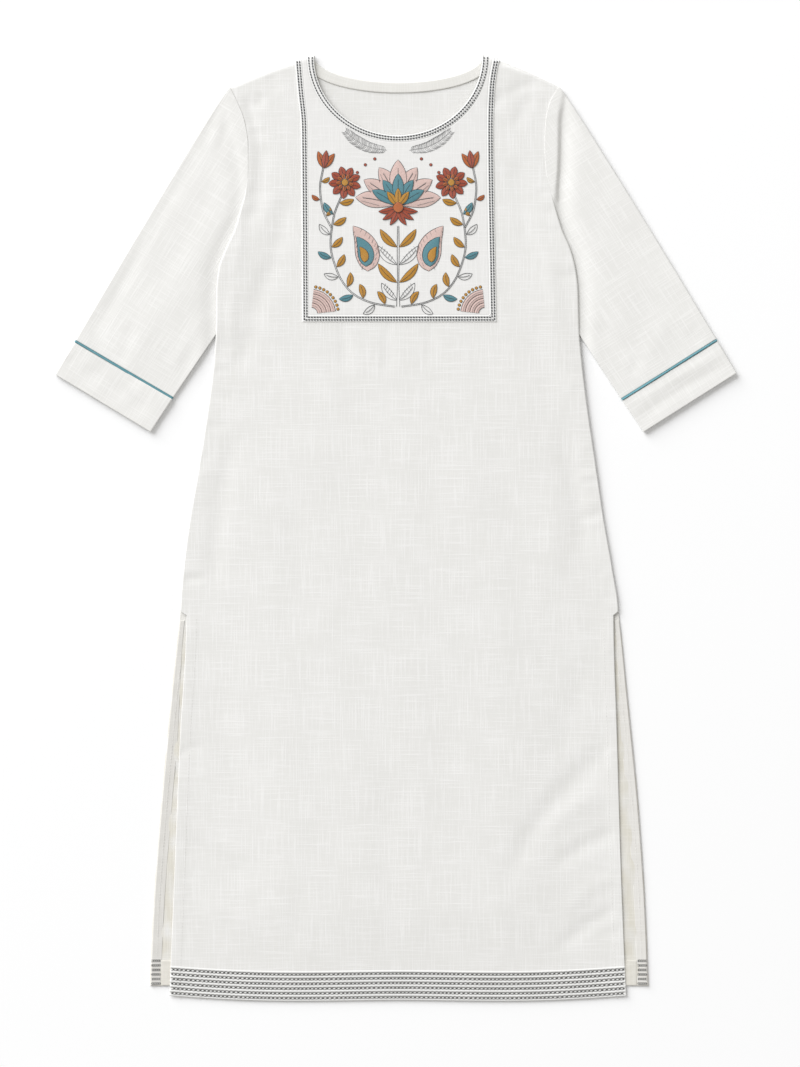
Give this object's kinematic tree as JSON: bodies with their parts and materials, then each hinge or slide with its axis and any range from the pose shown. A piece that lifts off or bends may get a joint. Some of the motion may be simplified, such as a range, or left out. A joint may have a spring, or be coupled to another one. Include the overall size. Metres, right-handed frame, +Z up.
{
  "type": "kurta tunic",
  "caption": "Off-white slub kurta tunic laid flat, with a scooped neck, stitched chest panel, teal-piped cuffs and side slits.",
  "frame": {"origin": "under the middle of the laid-out tunic, on the surface it lies on", "axes": "+Z up off the surface, +Y from hem to neck, +X to the right seen from above with the neck at the top"},
  "size_m": [0.8466, 1.176, 0.0065],
  "materials": {
    "slub_cloth": "plain-woven slub linen-cotton, matt, softly creased",
    "yoke_cloth": "the same cloth with a closer weave, matt, embroidered in coloured thread",
    "turned_cloth": "the same cloth turned to its inner face, matt",
    "teal_piping": "teal cotton piping, matt"
  },
  "bodies": {
    "root": {"back_body": "slub_cloth", "front_body": "slub_cloth", "yoke_panel": "yoke_cloth", "back_neck_binding": "turned_cloth", "back_hem_turn": "turned_cloth", "back_slit_turn_left": "turned_cloth", "back_slit_turn_right": "turned_cloth", "sleeve_left": "slub_cloth", "sleeve_right": "slub_cloth", "piping_left": "teal_piping", "piping_right": "teal_piping", "cuff_left": "slub_cloth", "cuff_right": "slub_cloth"}
  },
  "joints": []
}
